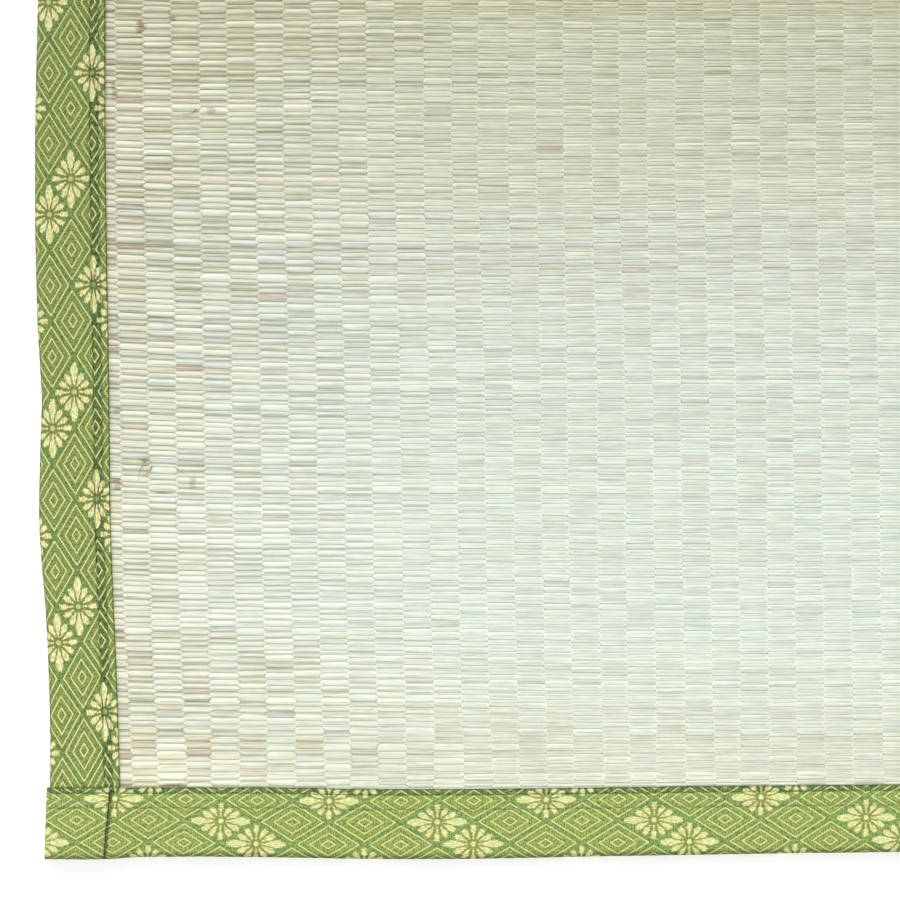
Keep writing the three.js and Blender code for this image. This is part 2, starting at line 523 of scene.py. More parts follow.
WARM_PALE = srgb(253, 252, 225)
WARM_DEEP = srgb(198, 197, 157)
COOL_PALE = srgb(244, 254, 241)
COOL_DEEP = srgb(186, 200, 183)
ROOT_BROWN = srgb(186, 158, 130)
KNOT_BROWN = srgb(150, 120, 82)
GROOVE_SHADE = (0.03, 0.05, 0.0, 1.0)


def rush_material():
    """Dried rush: each one its own tint, streaked lengthwise and shaded in the grooves."""
    s = Shader("rush")
    tone, hue, brown = s.split(s.attribute("tint"))
    along, across, pair = s.split(s.attribute("float_place"))
    knot_at, knot_depth, knot_reach = s.split(s.attribute("knot"))
    x, y, _ = s.place()
    fibre = s.noise(x * 0.05, y * 1.5, tone * 37.0, detail=3.0, roughness=0.65)
    hair = s.noise(x * 0.09, y * 2.4, tone * 51.0, detail=1.0)
    blotch = s.noise(x * 0.16, y * 0.5, hue * 23.0)
    shade = tone + (fibre - 0.5) * 1.3 + (blotch - 0.5) * 0.5
    warm = s.mix(shade, WARM_DEEP, WARM_PALE)
    cool = s.mix(shade, COOL_DEEP, COOL_PALE)
    colour = s.scale(s.mix(hue, warm, cool), s.step(shade, -0.1, 0.35, 0.88, 1.0))
    colour = s.mix(brown * s.ramp(fibre, 0.3, 0.6, 1.3, 0.4), colour, ROOT_BROWN)
    ragged = s.noise(x * 0.3, y * 1.3, roughness=0.6)
    away = abs(along - knot_at) - (ragged - 0.5) * 0.25
    knot = s.step(away, knot_reach * 0.3, knot_reach * 1.1, 1.0, 0.0)
    knot = knot * (knot_depth * s.ramp(ragged, 0.3, 0.6, 0.6, 1.1))
    colour = s.mix(knot, colour, KNOT_BROWN)

    # Much of the look goes from one value among the mat's thick rushes to another further in
    from_side = MAT_WIDTH / 2 - abs(x)
    fine = s.step(from_side, 45.0, 200.0)

    def from_thick(thick, thin):
        return s.ramp(fine, 0, 1, thick, thin)

    # Shade in the grooves beside a float and down a pair's middle, narrower among thin rushes
    side = abs(across)
    gap = s.attribute("gap", "Fac")
    uneven = s.noise(x * 0.1, y * 0.8, 5.0, detail=1.0)
    reach = s.ramp(gap, 0, 1, 0.26, 0.68) * from_thick(1.0, 0.42)
    reach = reach * s.step(across, -0.2, 0.2, from_thick(0.95, 1.25), from_thick(1.2, 0.75))
    depth = s.step(from_side, 30.0, 80.0, 0.44, 0.545) + (gap - fine * 0.35) * 0.1
    groove = s.step(1.0 - side, reach * from_thick(0.1, 0.3), reach, depth, 1.0)
    middle = s.step(side + (1.0 - pair), 0.04, 0.2, 1.0, 0.0)
    groove = groove * (1.0 - middle * s.ramp(uneven, 0.3, 0.7, 0.38, 0.04))
    shadow = (1.0 - groove) * s.step(abs(along - 0.5), 0.42, 0.5, 1.0, from_thick(0.8, 1.4))

    # Fine dark hairs, painted light along each float's upper side and painted shade along its lower side
    colour = s.scale(colour, s.step(hair, 0.34, 0.46, 0.88, 1.0))
    lit_from, lit_to = from_thick(-0.7, 0.1), from_thick(0.5, 0.85)
    colour = s.scale(colour, s.step(across, lit_from, lit_to, from_thick(0.94, 0.98), 1.07))
    colour = s.mix(shadow, colour, GROOVE_SHADE, "MULTIPLY")
    return s.finish(colour, s.ramp(fibre, 0.2, 0.8, 0.36, 0.54), s.bump(fibre, 0.12))


def underside_material():
    """The mat's underside, woven as its face is but shown by relief in the material."""
    s = Shader("rush_underside")
    x, y, _ = s.place()
    # The bricks' darker mortar is painted shade in the grooves between floats
    inputs = {
        "Vector": s.vector(y, x), "Scale": 1.0, "Brick Width": 2.4, "Row Height": COLUMN_PITCH,
        "Mortar Size": 0.22, "Mortar Smooth": 1.0, "Mortar": srgb(132, 136, 110),
        "Color1": srgb(222, 226, 198), "Color2": srgb(196, 204, 176),
    }
    floats = s.node("TexBrick", inputs, "Color")
    grooves = Value(s, floats.socket.node.outputs["Fac"])
    fibre = s.noise(x * 0.045, y * 2.1, detail=3.0, roughness=0.6)
    colour = s.scale(floats, s.ramp(fibre, 0.2, 0.8, 0.85, 1.1))
    return s.finish(colour, 0.55, s.bump(fibre - grooves * 4.0, 0.15), 0.4)


def loose_material():
    """A dried, browned end of rush."""
    s = Shader("loose_rush")
    x, y, _ = s.place()
    patches = s.noise(x, y, scale=0.35)
    fine = s.noise(x, y, scale=3.0)
    colour = s.mix(s.step(patches, 0.3, 0.7), srgb(150, 140, 92), srgb(206, 196, 150))
    colour = s.scale(colour, s.ramp(fine, 0.2, 0.8, 0.8, 1.15))
    return s.finish(colour, 0.55, s.bump(fine, 0.04), 0.4)


# The brocade: half a diamond's length along the tape and across it, and its outlines
CELL_ALONG = 13.6
CELL_ACROSS = 8.4
OUTLINES = (0.845, 0.51, 0.19)
LINE_HALF_WIDTH = 0.21
TWILL_PITCH = 0.86
PLY_PITCH = 0.55
# A flower's petals by their angle from the tape's length: each starts at its foot, widens
# from its neck, is widest before its tip, and gives half its width at foot, widest and tip
PETALS = table(
    "angle foot neck widest tip half_foot half_widest half_tip",
    (0, 1.9, 1.9, 8.2, 11.2, 0.28, 1.52, 0.72),
    (25, 2.4, 2.4, 6.0, 7.7, 0.3, 1.16, 0.68),
    (55, 2.2, 2.8, 4.9, 6.7, 0.35, 1.12, 0.85),
    (90, 1.7, 3.8, 4.8, 7.2, 0.35, 1.05, 0.95),
)
BROCADE_PALE = srgb(157, 171, 91)
BROCADE_DEEP = srgb(103, 119, 50)
GREEN_PALE = srgb(129, 157, 85)
GREEN_DEEP = srgb(83, 111, 56)
BROCADE_LINE = srgb(220, 232, 158)
PETAL_CREAM = srgb(248, 249, 192)
PETAL_GOLD = srgb(212, 204, 122)
PETAL_DIVISION = srgb(130, 134, 62)
SEAM_SHADE = srgb(142, 168, 162)
INNER_EDGE_SHADE = srgb(150, 146, 110)
FOLD_SHADE = srgb(112, 120, 84)
END_THREAD = srgb(104, 130, 78)
SIDE_THREAD = srgb(140, 166, 140)
SEAM_THREAD = srgb(36, 62, 48)


def diamonds(s, along, across):
    """Diamonds in rows: a point's place in its own, its ring, and whether a flower is there."""
    u, v = along * (1 / CELL_ALONG), across * (1 / CELL_ACROSS)
    diagonal, other = (u + v) * 0.5, (u - v) * 0.5
    cell_a, cell_b = s.math("ROUND", diagonal), s.math("ROUND", other)
    in_a, in_b = diagonal - cell_a, other - cell_b
    ring = s.most(abs(in_a), abs(in_b)) * 2.0

    # One in three along each row holds a flower, set over from row to row
    row = s.math("FLOORED_MODULO", cell_a - cell_b + 0.5, 4.0)
    set_over = s.math("GREATER_THAN", row, 2.0) * 3.0 + s.math("LESS_THAN", abs(row - 2.0), 1.0)
    place = s.math("FLOORED_MODULO", cell_a + cell_b - set_over + 0.5, 6.0)
    return in_a, in_b, ring, s.math("LESS_THAN", place, 1.0)


def outlines(s, ring):
    """The diamonds' outlines, and how far off the nearest one is, in millimetres."""
    line, beside_line = 0.0, 1.0
    per_mm = math.hypot(1 / CELL_ALONG, 1 / CELL_ACROSS)
    for outline in OUTLINES:
        off = abs(ring - outline) * (1 / per_mm)
        line = s.most(line, s.step(off, 0.4 * LINE_HALF_WIDTH, 1.8 * LINE_HALF_WIDTH, 1, 0))
        beside_line = s.least(beside_line, off)
    return line, beside_line


def flower(s, in_a, in_b, thread):
    """A flower, folded into one quarter: its petals, frayed by the threads, heart and ground."""
    from_along = abs(in_a + in_b) * CELL_ALONG
    from_across = abs(in_a - in_b) * CELL_ACROSS
    quarter = s.vector(from_along, from_across)
    fray = (thread - 0.5) * 1.1
    petals = 0.0
    for petal in PETALS:
        turn = math.radians(petal["angle"])
        out = s.dot(quarter, math.cos(turn), math.sin(turn))
        side = abs(s.dot(quarter, -math.sin(turn), math.cos(turn)))
        foot, widest, tip = petal["foot"], petal["widest"], petal["tip"]
        widening = s.step(out, petal["neck"], widest, petal["half_foot"], petal["half_widest"])
        narrowing = s.step(out, widest, tip, petal["half_widest"], petal["half_tip"])
        beyond = s.most(s.most(side - s.least(widening, narrowing), foot - out), out - tip)
        petals = s.most(petals, s.step(beyond + fray, -0.34, 0.2, 1.0, 0.0))
    from_centre = s.math("SQRT", from_along * from_along + from_across * from_across)
    heart = s.step(from_centre + fray * 0.5, 0.75, 1.2, 1.0, 0.0)
    return petals, heart, s.step(from_centre, 4.5, 7.5, 1.0, 0.0)


def brocade_material(name, anchor, stretch, tone, figure, creases, drawn, fold_shade_width):
    """Brocade tape: nested diamonds in rows, with a flower in every third of a row.

    anchor is the centre of a flower, stretch is how far the weave is pulled out along and
    across the tape, tone is its lightness, raised on the end tapes by painted sheen, figure
    is how strongly lines and petals stand out, and the rest is a row of TAPE_SEAMS.
    """
    s = Shader(name)
    raw_along, raw_across, _ = s.split(s.node("UVMap", {}, uv_map="Tape"))
    along = (raw_along - anchor[0]) * (1 / stretch[0])
    across = (raw_across - anchor[1]) * (1 / stretch[1])
    wobble = s.noise(along * 0.9, across * 0.9, detail=1.0)
    along = along + (wobble - 0.5) * 0.7
    speck = s.noise(raw_along * 1.9, raw_across * 0.9, roughness=0.6)
    patch = s.noise(raw_along * 0.6, raw_across * 0.6, roughness=0.6)
    thread = s.noise(raw_along * 0.7, raw_across * 2.6, roughness=0.6)
    twill = s.math("SINE", (raw_along + raw_across) * (2 * math.pi / TWILL_PITCH))

    in_a, in_b, ring, flowering = diamonds(s, along, across)
    line, beside_line = outlines(s, ring)
    petal, heart, around = (part * flowering for part in flower(s, in_a, in_b, thread))

    greener = s.most(s.step(ring, 0.84, 0.96), flowering) * s.step(patch, 0.35, 0.6, 1.0, 0.45)
    lightness = s.step(speck + (patch - 0.5) * 0.3, 0.37, 0.61)
    plain = s.mix(lightness, BROCADE_DEEP, BROCADE_PALE)
    colour = s.mix(greener, plain, s.mix(lightness, GREEN_DEEP, GREEN_PALE))
    colour = s.mix(around * 0.6, colour, PETAL_DIVISION)
    # The ground beside each raised outline is darkened by painted shade, and lightened away from it
    shaded = s.step(beside_line, 0.3, 1.2, 0.86, 1.04)
    colour = s.scale(colour, s.most(shaded, flowering))
    colour = s.mix(heart * s.ramp(speck, 0.3, 0.7, 0.95, 0.45), colour, BROCADE_LINE)

    # The band that the stitches draw down gets painted shade on its ground, but not on the lines over it
    from_inner, from_fold, in_seam = s.split(s.attribute("tape_place"))
    band = s.step(from_inner, drawn[0] - 0.5, drawn[0] + 0.1)
    band = band * s.step(from_inner, drawn[1] - 0.1, drawn[1] + 0.5, 1.0, 0.0)
    band = band * s.step(patch, 0.3, 0.65, 1.0, 0.45)
    colour = s.mix(band, colour, SEAM_SHADE, "MULTIPLY")
    # Painted shade on the ground towards the outer fold
    fold_shade_mask = s.step(from_fold, 0.0, fold_shade_width, 0.65, 0.0)
    colour = s.mix(fold_shade_mask, colour, FOLD_SHADE, "MULTIPLY")

    unbroken = line * (s.step(thread, 0.2, 0.45, 0.5, 1.0) * (1.0 - flowering))
    colour = s.mix(unbroken * figure, colour, BROCADE_LINE)
    gold = s.step(thread + (patch - 0.5) * 0.5, 0.38, 0.62)
    colour = s.mix(petal * figure, colour, s.mix(gold, PETAL_CREAM, PETAL_GOLD))
    colour = s.scale(colour, s.ramp(twill, -1, 1, 0.96 * tone, 1.04 * tone))

    # Painted shade in the creases, along the inner edge, towards the outer fold and along the seam across
    # an end
    crease = s.least(*(abs(from_inner - at) for at in creases))
    crease = s.step(crease, 0.1, 0.5, 1.0, 0.0)
    colour = s.scale(colour, 1.0 - crease * s.ramp(patch, 0.3, 0.7, 0.55, 0.1))
    colour = s.mix(s.step(from_inner, 0.1, 0.75, 0.9, 0.0), colour, INNER_EDGE_SHADE, "MULTIPLY")
    colour = s.mix(fold_shade_mask * 0.5, colour, FOLD_SHADE, "MULTIPLY")
    colour = s.scale(colour, s.step(in_seam, 0.1, 0.8, 1.0, 0.42))

    raised = petal * 1.2 + unbroken * 0.8
    relief = raised + (twill * 0.15 + speck * 1.1)
    return s.finish(colour, s.ramp(raised, 0, 1, 0.66, 0.5), s.bump(relief, 0.09), 0.35, 0.05)


def thread_material(name, colour):
    s = Shader(name)
    x, y, z = s.place()
    ply = s.math("SINE", (x + y + z * 2.0) * (2 * math.pi / PLY_PITCH))
    fuzz = s.noise(x, y, z, scale=3.0)
    shade = s.ramp(ply, -1, 1, 0.75, 1.2) * s.ramp(fuzz, 0.2, 0.8, 0.8, 1.2)
    tint = s.node("RGB", {})
    tint.socket.default_value = colour
    return s.finish(s.scale(tint, shade), 0.6, s.bump(ply, 0.04), 0.35)


# The weave

def inner_edge(node, axis):
    """How far in from the mat's side a binding's inner edge reaches at the least."""
    low, high = node_box(node)
    size = (MAT_WIDTH, MAT_LENGTH)[axis]
    return min(high[axis], size - low[axis]) - EDGE_WAVES


def row_lines():
    """Heights up the mat of the lines between floats, two to each float."""
    fine = np.linspace(-20, MAT_LENGTH + 20, 8000)
    per_mm = 2 / read_off(FLOAT_PITCH, "pitch", fine)
    count = np.concatenate([[0], np.cumsum((per_mm[1:] + per_mm[:-1]) / 2 * np.diff(fine))])
    lowest = np.interp(inner_edge("front_binding", 1) - TUCKED_UNDER, fine, count)
    highest = np.interp(MAT_LENGTH - inner_edge("back_binding", 1) + TUCKED_UNDER, fine, count)
    return np.interp(np.arange(math.floor(lowest), math.ceil(highest) + 1), count, fine)


# Where the lines between floats and the boundaries between columns are, and each column's
# middle and distance from the mat's nearer side
lines = row_lines()
LINE_COUNT = len(lines)
BOUNDARIES = COLUMNS + 3
WEAVE_SIZE = (BOUNDARIES - 1, LINE_COUNT)
boundary_x = FIRST_BOUNDARY + COLUMN_PITCH * (np.arange(BOUNDARIES) - 1)
column_x = (boundary_x[:-1] + boundary_x[1:])[:, None] / 2
column_from_side = np.minimum(column_x, MAT_WIDTH - column_x)


def drifting(count, stops, keep):
    """Values for each line that change slowly from one side of the mat to the other."""
    values = rng.standard_normal((stops, LINE_COUNT))
    for stop in range(1, stops):
        values[stop] = keep * values[stop - 1] + math.sqrt(1 - keep * keep) * values[stop]
    at = np.linspace(0, stops - 1, count)
    low = np.minimum(at.astype(int), stops - 2)
    share = (at - low)[:, None]
    blend = (1 - share) * values[low] + share * values[low + 1]
    return blend / np.sqrt((1 - share) ** 2 + share ** 2 + 2 * keep * share * (1 - share))


def levelling(distance, slope, reach):
    """A slope that levels off within its reach."""
    return slope * reach * (1 - np.exp(-distance / reach))


def weave_grid():
    """Where each boundary between columns crosses each line: x, y, each boundary by line."""
    beside, elsewhere = (
        smooth_rows(read_off(COLUMN_WANDER, name, lines), 25) for name in ("beside_tape", "elsewhere")
    )
    x = boundary_x[:, None]
    wander = beside * np.exp(-np.abs(x - FIRST_BOUNDARY) / WANDER_FADE)
    wander = wander + elsewhere * smoothstep(MAT_WIDTH - x, 40, 140)
    own = smooth_rows(rng.standard_normal((BOUNDARIES, LINE_COUNT)), 61) * OWN_WANDER
    own += rng.standard_normal((BOUNDARIES, 1)) * OWN_OFFSET
    grid_x = x + wander + own

    from_right = np.maximum(MAT_WIDTH - FIRST_BOUNDARY - x, 0)
    lean_left = levelling(x - FIRST_BOUNDARY, TAPE_SLOPE, TAPE_REACH)
    lean_far = levelling(x - FIRST_BOUNDARY, MAT_SLOPE, MAT_REACH)
    lean_right = levelling(from_right, RIGHT_SLOPE, TAPE_REACH) - RIGHT_SLOPE * TAPE_REACH
    far_share = smoothstep(lines, 20, 260) * 0.75 + 0.25 * np.cos(lines / 210)
    hump = 0.5 * np.sin(x / 97 + lines / 61) + 0.35 * np.sin(x / 41 - lines / 37 + 1)
    ends = smoothstep(lines, 26, 60) * smoothstep(MAT_LENGTH - lines, 26, 60)
    lean = lean_left * (0.55 + 0.45 * ends) + lean_far * far_share * ends + lean_right
    grid_y = lines + lean + hump * ends

    jitter = ROW_DRIFT * drifting(BOUNDARIES, 12, 0.6)
    jitter += ROW_JITTER * rng.standard_normal((BOUNDARIES, LINE_COUNT))
    pitch = np.gradient(lines)
    grid_y += np.clip(jitter, -MOST_JITTER, MOST_JITTER) * pitch / pitch.mean()
    return grid_x, grid_y


def thinness(grid_y):
    """How much thinner than its share each float between two boundaries is."""
    middle = (grid_y[:-1] + grid_y[1:]) / 2
    thin = np.zeros(middle.shape)
    thin[:, 1:-1] = 1 - (middle[:, 2:] - middle[:, :-2]) / (lines[2:] - lines[:-2])
    return thin


def pairedness(x):
    """0 where a float is one thick rush, 1 where it is two thin ones side by side."""
    inwards = np.minimum(x, MAT_WIDTH - x)
    return smoothstep(inwards, SINGLES_REACH - SINGLES_FADE, SINGLES_REACH + SINGLES_FADE)


def zigzag(grid):
    """Where the ends of floats interlock along each boundary: x, y and z by boundary and line."""
    x, y = grid
    number = np.arange(BOUNDARIES)[:, None] + np.arange(LINE_COUNT)
    outward = np.where(number % 2 == 0, -1.0, 1.0)
    paired = pairedness(boundary_x)[:, None]
    reach = POINT_LENGTH + (PAIR_POINT_LENGTH - POINT_LENGTH) * paired
    reach = reach * np.clip(1 + 0.22 * rng.standard_normal(x.shape), 0.5, 1.5)
    x = x + outward * reach
    depth = SINGLE_DEPTH + (DOUBLE_DEPTH - SINGLE_DEPTH) * paired
    z = panel_top(x, y) - depth * rng.uniform(0.85, 1.15, x.shape)
    return np.stack([x, y, z], -1)


def deeper_halves():
    """Which half of a float is a thin rush lying deeper: -1 the lower, 1 the upper, 0 neither."""
    least = 0.35 + 1.15 * smoothstep(column_from_side, 40, 260)
    value = drifting(BOUNDARIES - 1, 10, 0.7)
    value += 0.4 * rng.standard_normal(value.shape)
    return np.sign(value) * (np.abs(value) > least)


def tints(grid, deeper):
    """Each row's rushes: tone, hue and brownness for each half, column and row of floats."""
    count = BOUNDARIES - 1
    shared_tone, shared_hue = drifting(count, 10, 0.7), drifting(count, 8, 0.85)
    paired = pairedness(column_x)
    at_side = np.exp(-(column_from_side - 25) / 45)
    dull = read_off(DULLING, "dull", lines)
    chance = (0.002 + 0.1 * np.exp(-(column_from_side - 20) / 14)) * (column_from_side < 260)
    root = (rng.random(WEAVE_SIZE) < chance) * rng.uniform(0.3, 0.7, WEAVE_SIZE)
    faint = np.clip(0.3 * np.abs(shared_hue) * (0.4 + 0.6 * at_side) - 0.16, 0, 0.2)
    thin = np.clip(thinness(grid[1]), -0.35, 0.35)
    tint = {
        name: row["everywhere"] + row["pairs"] * paired + row["sides"] * at_side
        for name, row in TINTS.items()
    }
    halves = []
    for half in (-1, 1):
        own_tone, own_hue = drifting(count, 8, 0.8), drifting(count, 8, 0.8)
        tone = shared_tone * (1 - 0.8 * paired) + own_tone * 0.8 * paired
        hue = shared_hue * (1 - 0.6 * paired) + own_hue * 0.6 * paired
        tone = 1.1 * tone + 0.45 * rng.standard_normal(WEAVE_SIZE)
        deep = deeper == half
        # Dulling along the mat darkens the tone, partly as painted shade
        tone = tint["tone"] + tint["tone_spread"] * tone + DULL_TONE * dull
        # Thinner floats and deeper halves are darkened by painted shade, as they lie lower
        tone += tint["tone_by_thinness"] * thin + tint["tone_where_deeper"] * deep
        hue = tint["hue"] + tint["hue_spread"] * hue + DULL_HUE * dull
        browned = np.clip(0.15 * rng.standard_normal(WEAVE_SIZE), 0, 0.3) * deep * (1 - 0.6 * paired)
        halves.append(np.stack([tone, hue, root + faint + browned], -1))
    return np.stack(halves)


def gaps():
    """How wide the groove on each line of a column is, from 0 to 1."""
    shared = drifting(BOUNDARIES - 1, 16, 0.5) + 0.7 * rng.standard_normal(WEAVE_SIZE)
    return smoothstep(shared, -0.6, 1.6)


def stain_rows():
    """The stains of the table, and chance ones over the rest of the mat."""
    rows = [tuple(row.values()) for row in STAINS]
    while len(rows) < len(STAINS) + OTHER_STAINS:
        x, y = rng.uniform(20, MAT_WIDTH - 20), rng.uniform(20, MAT_LENGTH - 20)
        length, height, depth = rng.uniform(1.5, 5.5), rng.uniform(0.4, 2.6), rng.uniform(0.2, 0.7)
        if x > STAINED_CORNER or y > STAINED_CORNER:
            rows.append((x, y, length, height, depth))
    return rows


def knots(grid):
    """Where along each half of a float a stain lies, how deep it is, and how far it reaches."""
    grid_x, grid_y = grid
    found = np.zeros((2, *WEAVE_SIZE, 3))
    for x, y, length, height, depth in stain_rows():
        guess = int((x - FIRST_BOUNDARY) / COLUMN_PITCH) + 1
        thin = height < THIN_STAIN
        for number in range(max(guess - 1, 0), min(guess + 2, BOUNDARIES - 1)):
            left, right = grid_x[number], grid_x[number + 1]
            middle = (grid_y[number] + grid_y[number + 1]) / 2
            near = np.abs(middle - y) < (THIN_STAIN_REACH if thin else height / 2 + 0.65)
            near &= (left < x + length / 2) & (right > x - length / 2)
            for row in np.flatnonzero(near):
                width = right[row] - left[row]
                at = (x + rng.normal(0, 0.3) - left[row]) / width
                reach = length / 2 / width * rng.uniform(0.85, 1.25)
                half = int(middle[row] < y) if thin else slice(None)
                found[half, number, row] = at, depth * rng.uniform(0.75, 1.15), reach
    return found


def float_tops(grid, cols, mids, paired, deeper):
    """The flat tops of floats: three points across each one's left end, and three its right."""
    grid_x, grid_y = grid
    width = grid_x[cols + 1, mids] - grid_x[cols, mids]
    spot = 0.5 + (SHOULDER_AT - 0.06 * paired)[:, None] * np.array([-1, 0, 1])
    spot += deeper[:, None] * np.array([0.06, 0.14, 0.06])
    sunk = SINKING * smoothstep(thinness(grid_y)[cols, mids], -0.05, 0.4) * (1 - 0.5 * paired)
    inset = ARCH_INSET + rng.uniform(-ARCH_UNEVEN, ARCH_UNEVEN, (2, len(cols)))
    shoulder = SHOULDER_DROP * (1 - paired)
    drops = (
        shoulder + DEEPER_BY * (deeper < 0), PAIR_GROOVE * paired, shoulder + DEEPER_BY * (deeper > 0),
    )
    ends = []
    for end, inwards in ((0, 1), (1, -1)):
        x = grid_x[cols + end, mids] + inwards * inset[end]
        share = (x - grid_x[cols, mids]) / width
        low, high = (
            (1 - share) * grid_y[cols, mids + side] + share * grid_y[cols + 1, mids + side]
            for side in (-1, 1)
        )
        y = low[:, None] + (high - low)[:, None] * spot
        top = panel_top(x, y[:, 1]) - sunk - rng.uniform(0, 0.1, len(cols))
        z = np.stack([top - drop for drop in drops], 1) + rng.normal(0, 0.03, y.shape)
        ends.append(np.stack([np.repeat(x[:, None], 3, 1), y, z], -1))
    return np.concatenate(ends, 1).reshape(-1, 3)


# A float's faces, by their corners at its left and right ends: its tips, where its neighbours
# meet it below and above, and the lower edge, middle and upper edge of its flat top. ACROSS is
# how far across the float they are, and the tips count as part of the groove, so that its
# shade runs on some way round them
FLOAT_QUADS = (
    "below_l below_r lower_r lower_l",
    "lower_l lower_r middle_r middle_l",
    "middle_l middle_r upper_r upper_l",
    "upper_l upper_r above_r above_l",
)
FLOAT_TRIANGLES = (
    "tip_l below_l lower_l", "tip_l lower_l middle_l", "below_r tip_r lower_r", "lower_r tip_r middle_r",
    "tip_l middle_l upper_l", "tip_l upper_l above_l", "middle_r tip_r upper_r", "upper_r tip_r above_r",
)
ACROSS = {"below": -1.0, "lower": -0.5, "middle": 0.0, "upper": 0.5, "above": 1.0}
TIP_ACROSS = 0.6


def float_faces(at, count):
    """The faces of floats, from where their corners are among a mesh's points.

    Gives the corners, how far across its float each lies, and each face's half of its float,
    its float and how many corners it has.
    """
    parts = []
    for faces in (FLOAT_QUADS, FLOAT_TRIANGLES):
        names = [face.split() for face in faces]
        half = np.arange(len(faces)) * 2 // len(faces)
        corners = np.stack([at[name] for face in names for name in face], -1)
        across = [
            ACROSS.get(name[:-2], TIP_ACROSS * (2 * its_half - 1))
            for face, its_half in zip(names, half) for name in face
        ]
        owner = np.repeat(np.arange(count), len(faces))
        sizes = np.full(len(owner), len(names[0]))
        parts.append((corners.ravel(), np.tile(across, count), np.tile(half, count), owner, sizes))
    return [np.concatenate(part) for part in zip(*parts)]


def crease_grooves(mesh, low_count, paired):
    """Makes creases of the grooves between rushes, and of the middle where a pair parts."""
    low, top, middle, parting = range(4)
    kinds = np.full((len(paired), 6), top, np.int8)
    kinds[:, [1, 4]] = np.where(paired > 0.5, parting, middle)[:, None]
    kinds = np.concatenate([np.full(low_count, low, np.int8), kinds.ravel()])
    ends = np.empty(len(mesh.edges) * 2, np.int32)
    mesh.edges.foreach_get("vertices", ends)
    least, most = np.sort(kinds[ends.reshape(-1, 2)], 1).T
    sharp = (most == low) | ((most == parting) & np.isin(least, (low, parting)))
    add_layer(mesh, "sharp_edge", "BOOLEAN", "EDGE", sharp)


def weave_strip(name, first, last, weave, material):
    """The columns from first up to last, as one sheet of interlocking floats."""
    grid_x = weave["grid"][0]

    # One row of these for each float: its column and the line through its middle
    cols, mids = np.meshgrid(np.arange(first, last), np.arange(1, LINE_COUNT - 1), indexing="ij")
    there = (cols + mids) % 2 == 0
    cols, mids = cols[there], mids[there]
    width = grid_x[cols + 1, mids] - grid_x[cols, mids]
    paired = pairedness(grid_x[cols, mids] + width / 2 + rng.normal(0, 9, len(cols)))
    deeper = weave["deeper"][cols, mids]
    paired = np.maximum(paired, np.abs(deeper))

    zig = weave["zigzag"][first:last + 1].reshape(-1, 3)
    points = np.concatenate([zig, float_tops(weave["grid"], cols, mids, paired, deeper)])
    at = {}
    for end, letter in enumerate("lr"):
        for name_of, side in (("below", -1), ("tip", 0), ("above", 1)):
            at[f"{name_of}_{letter}"] = (cols - first + end) * LINE_COUNT + mids + side
        for number, name_of in enumerate(("lower", "middle", "upper")):
            at[f"{name_of}_{letter}"] = len(zig) + 6 * np.arange(len(cols)) + 3 * end + number
    corners, across, half, owner, sizes = float_faces(at, len(cols))
    mesh = make_mesh(name, points, corners, sizes)

    # Each face's rush, and each corner's place on its float
    face = half, cols[owner], mids[owner]
    add_layer(mesh, "tint", "FLOAT_VECTOR", "FACE", weave["tints"][face])
    add_layer(mesh, "knot", "FLOAT_VECTOR", "FACE", weave["knots"][face])
    add_layer(mesh, "gap", "FLOAT", "FACE", weave["gaps"][cols[owner], mids[owner] - 1 + 2 * half])
    owner = np.repeat(owner, sizes)
    along = (points[corners, 0] - grid_x[cols, mids][owner]) / width[owner]
    place = np.stack([along, across, paired[owner]], -1)
    add_layer(mesh, "float_place", "FLOAT_VECTOR", "CORNER", place)
    crease_grooves(mesh, len(zig), paired)
    add_bake_map(mesh, points[corners, :2], mids[owner])
    return add_piece(mesh, material)


BAKE_BANDS = 4
BAKE_MARGIN = 0.004


def add_bake_map(mesh, places, line_of_corner):
    """Lays a long strip out in a square as bands side by side."""
    band = line_of_corner // math.ceil(LINE_COUNT / BAKE_BANDS)
    low_x, high_x = places[:, 0].min(), places[:, 0].max()
    uv = np.empty((len(places), 2))
    for number in range(BAKE_BANDS):
        mine = band == number
        y = places[mine, 1]
        across = (places[mine, 0] - low_x) / (high_x - low_x)
        up = (y - y.min()) / (y.max() - y.min())
        uv[mine, 0] = number / BAKE_BANDS + BAKE_MARGIN + across * (1 / BAKE_BANDS - 2 * BAKE_MARGIN)
        uv[mine, 1] = BAKE_MARGIN + up * (1 - 2 * BAKE_MARGIN)
    add_uv(mesh, "OFBake", uv)


